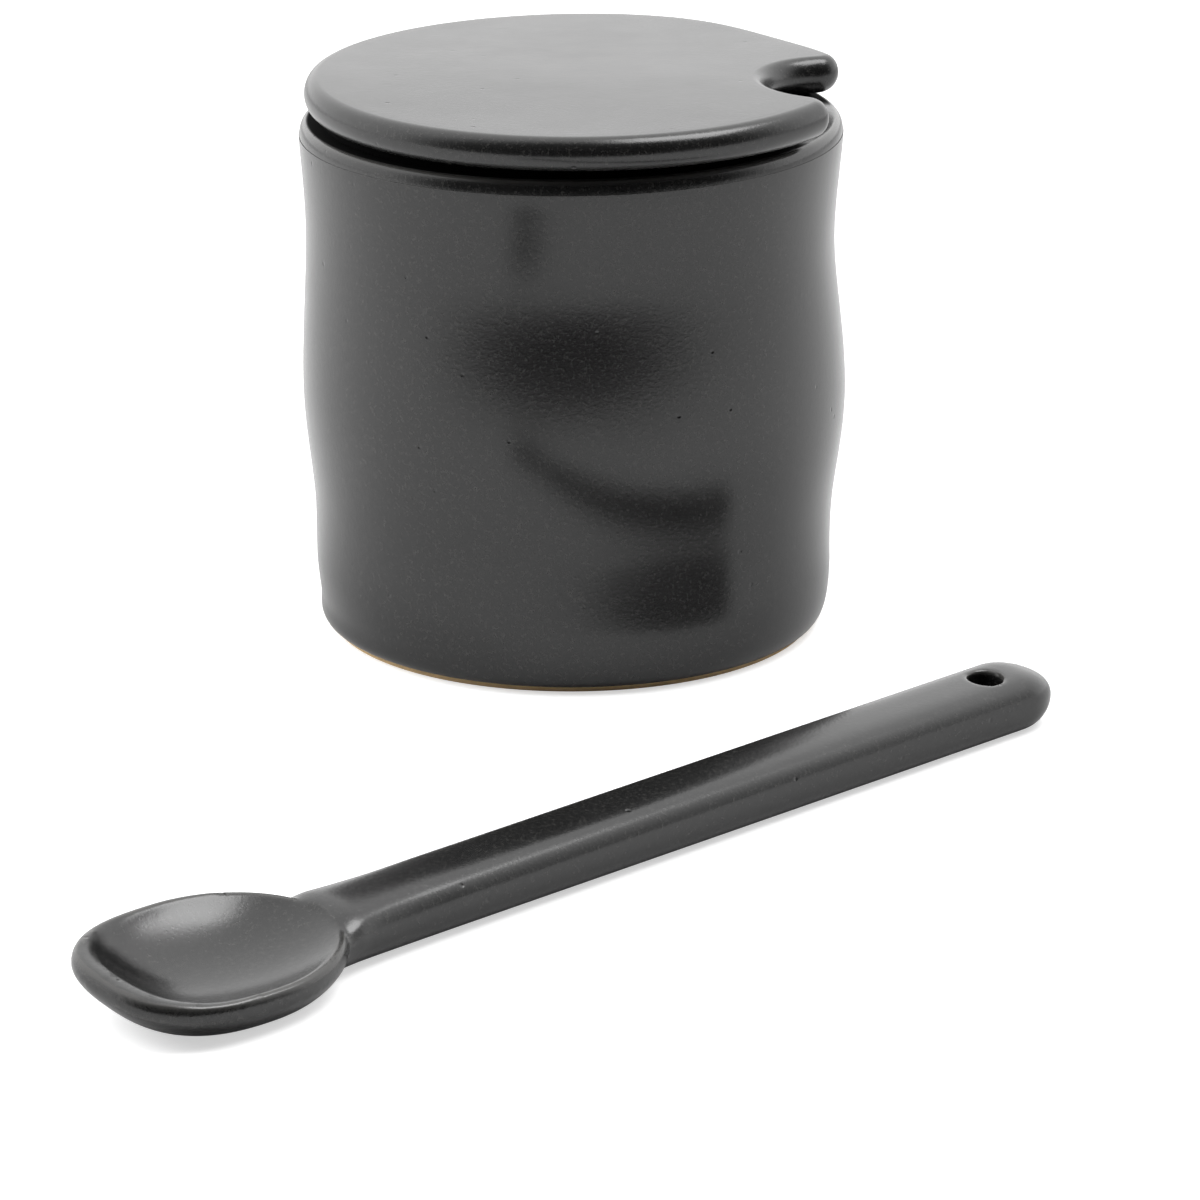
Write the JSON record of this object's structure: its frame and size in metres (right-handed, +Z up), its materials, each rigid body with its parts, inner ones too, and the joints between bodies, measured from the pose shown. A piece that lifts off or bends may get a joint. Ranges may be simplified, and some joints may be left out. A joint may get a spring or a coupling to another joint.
{
  "type": "lidded condiment jar with spoon",
  "caption": "Hand-built stoneware jar in satin black glaze, with a loose lid notched for a spoon handle and a matching spoon beside it.",
  "frame": {"origin": "middle of the jar's foot, on the table", "axes": "+Z up along the jar's axis, +X to the side where the lid is notched, -Y the side where the spoon lies and from which the picture was taken"},
  "size_m": [0.1303, 0.2072, 0.0844],
  "materials": {
    "jar_glaze": "satin black stoneware glaze with a fine grain",
    "lid_glaze": "satin black stoneware glaze with small pits",
    "spoon_glaze": "satin black stoneware glaze, smooth"
  },
  "bodies": {
    "jar": {"jar": "jar_glaze"},
    "lid": {"lid": "lid_glaze"},
    "spoon": {"spoon": "spoon_glaze"}
  },
  "joints": [
    {"name": "lid_lift", "type": "slide", "parent": "jar", "child": "lid", "axis": [0, 0, 1], "range_m": [0, 0.06]},
    {"name": "spoon_lift", "type": "slide", "parent": "jar", "child": "spoon", "axis": [0, 0, 1], "range_m": [0, 0.1]}
  ]
}
